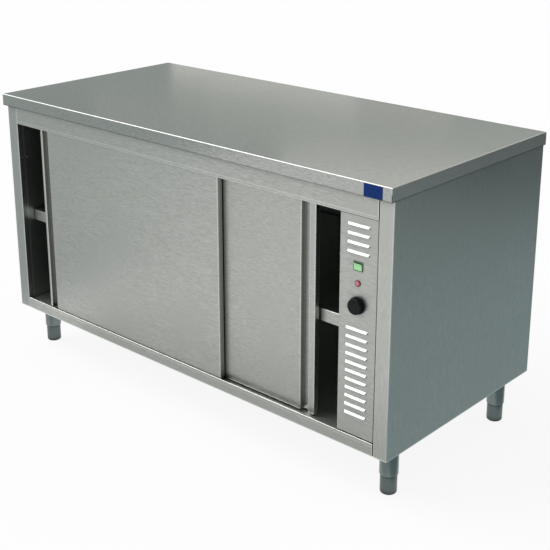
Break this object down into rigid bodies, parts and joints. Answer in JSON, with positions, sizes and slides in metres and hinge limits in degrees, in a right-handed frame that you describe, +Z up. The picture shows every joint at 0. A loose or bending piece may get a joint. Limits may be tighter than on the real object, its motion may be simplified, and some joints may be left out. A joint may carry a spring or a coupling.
{
  "type": "hot cupboard",
  "caption": "Free-standing stainless hot cupboard with a flat worktop, two sliding doors on a double track, a louvred control panel, an inner shelf and adjustable feet.",
  "frame": {"origin": "on the floor, under the middle of the worktop", "axes": "+X to the user's right along the worktop, +Y to the back, +Z up"},
  "size_m": [1.5, 0.7008, 0.85],
  "materials": {
    "steel_top": "satin, grain along X",
    "steel_front": "satin, grain along X",
    "steel_side": "satin, upright grain",
    "steel_back": "plain mill finish",
    "steel_liner": "satin",
    "steel_leg": "fine turned",
    "zinc": "dull zinc plating",
    "wheel_alloy": "pressed sheet",
    "heater_sheath": "heat-darkened",
    "mineral_wool": "matted fibre",
    "nylon": "moulded",
    "stop_rubber": "matt",
    "black_plastic": "moulded",
    "green_plastic": "clear tinted",
    "red_lens": "clear tinted",
    "blue_plate": "bare printed plate"
  },
  "bodies": {
    "cabinet": {"back_liner": "steel_liner", "back_panel": "steel_back", "back_screws": "zinc", "base_deck": "steel_back", "bottom_rail": "steel_front", "cable_gland": "black_plastic", "ceiling_liner": "steel_liner", "control_panel": "steel_front", "door_bumpers": "stop_rubber", "door_guide": "nylon", "door_track": "zinc", "fan_casing": "zinc", "fan_grille": "steel_liner", "fan_motor": "zinc", "fascia": "steel_front", "floor_liner": "steel_liner", "insulation_slabs": "mineral_wool", "lamp_body": "black_plastic", "lamp_lens": "red_lens", "left_liner": "steel_liner", "left_side": "steel_side", "leg_bolts": "zinc", "leg_plugs": "steel_leg", "leg_tubes": "steel_leg", "name_plate": "blue_plate", "partition": "steel_liner", "right_side": "steel_side", "ring_heater": "heater_sheath", "shelf": "steel_front", "shelf_supports": "steel_liner", "switch_body": "black_plastic", "terminal_block": "black_plastic", "thermostat": "nylon", "worktop": "steel_top", "worktop_stiffeners": "zinc"},
    "front_door": {"front_door_skin": "steel_front", "front_door_back": "steel_liner", "front_door_core": "mineral_wool", "front_door_hangers": "zinc"},
    "front_door_roller_left": {"front_door_roller_left": "nylon"},
    "front_door_roller_right": {"front_door_roller_right": "nylon"},
    "rear_door": {"rear_door_skin": "steel_front", "rear_door_back": "steel_liner", "rear_door_core": "mineral_wool", "rear_door_hangers": "zinc"},
    "rear_door_roller_left": {"rear_door_roller_left": "nylon"},
    "rear_door_roller_right": {"rear_door_roller_right": "nylon"},
    "rocker": {"rocker": "green_plastic"},
    "knob": {"knob": "black_plastic", "thermostat_shaft": "zinc"},
    "fan_wheel": {"fan_wheel": "wheel_alloy", "fan_shaft": "zinc"},
    "foot_front_left": {"foot_front_left": "steel_leg"},
    "foot_front_right": {"foot_front_right": "steel_leg"},
    "foot_rear_left": {"foot_rear_left": "steel_leg"},
    "foot_rear_right": {"foot_rear_right": "steel_leg"}
  },
  "joints": [
    {"name": "front_door_slide", "type": "slide", "parent": "cabinet", "child": "front_door", "axis": [1, 0, 0], "range_m": [-0.108, 0.4102]},
    {"name": "front_door_roller_left_turn", "type": "hinge", "parent": "front_door", "child": "front_door_roller_left", "pos_m": [-0.4927, -0.3285, 0.7978], "axis": [0, 1, 0], "continuous": true},
    {"name": "front_door_roller_right_turn", "type": "hinge", "parent": "front_door", "child": "front_door_roller_right", "pos_m": [0.0725, -0.3285, 0.7978], "axis": [0, 1, 0], "continuous": true},
    {"name": "rear_door_slide", "type": "slide", "parent": "cabinet", "child": "rear_door", "axis": [1, 0, 0], "range_m": [-0.4312, 0.087]},
    {"name": "rear_door_roller_left_turn", "type": "hinge", "parent": "rear_door", "child": "rear_door_roller_left", "pos_m": [-0.1695, -0.3095, 0.7978], "axis": [0, 1, 0], "continuous": true},
    {"name": "rear_door_roller_right_turn", "type": "hinge", "parent": "rear_door", "child": "rear_door_roller_right", "pos_m": [0.3957, -0.3095, 0.7978], "axis": [0, 1, 0], "continuous": true},
    {"name": "rocker_tip", "type": "hinge", "parent": "cabinet", "child": "rocker", "pos_m": [0.646, -0.334, 0.63], "axis": [-1, 0, 0], "range_deg": [0, 14]},
    {"name": "knob_turn", "type": "hinge", "parent": "cabinet", "child": "knob", "pos_m": [0.646, -0.342, 0.529], "axis": [0, 1, 0], "range_deg": [0, 270]},
    {"name": "fan_turn", "type": "hinge", "parent": "cabinet", "child": "fan_wheel", "pos_m": [0.6162, 0, 0.3], "axis": [1, 0, 0], "continuous": true},
    {"name": "foot_front_left_screw", "type": "slide", "parent": "cabinet", "child": "foot_front_left", "axis": [0, 0, -1], "range_m": [0, 0.03]},
    {"name": "foot_front_right_screw", "type": "slide", "parent": "cabinet", "child": "foot_front_right", "axis": [0, 0, -1], "range_m": [0, 0.03]},
    {"name": "foot_rear_left_screw", "type": "slide", "parent": "cabinet", "child": "foot_rear_left", "axis": [0, 0, -1], "range_m": [0, 0.03]},
    {"name": "foot_rear_right_screw", "type": "slide", "parent": "cabinet", "child": "foot_rear_right", "axis": [0, 0, -1], "range_m": [0, 0.03]}
  ],
  "couplings": [
    {"joint": "front_door_roller_left_turn", "follows": "front_door_slide", "rad_per_m": 90.909},
    {"joint": "front_door_roller_right_turn", "follows": "front_door_slide", "rad_per_m": 90.909},
    {"joint": "rear_door_roller_left_turn", "follows": "rear_door_slide", "rad_per_m": 90.909},
    {"joint": "rear_door_roller_right_turn", "follows": "rear_door_slide", "rad_per_m": 90.909}
  ]
}
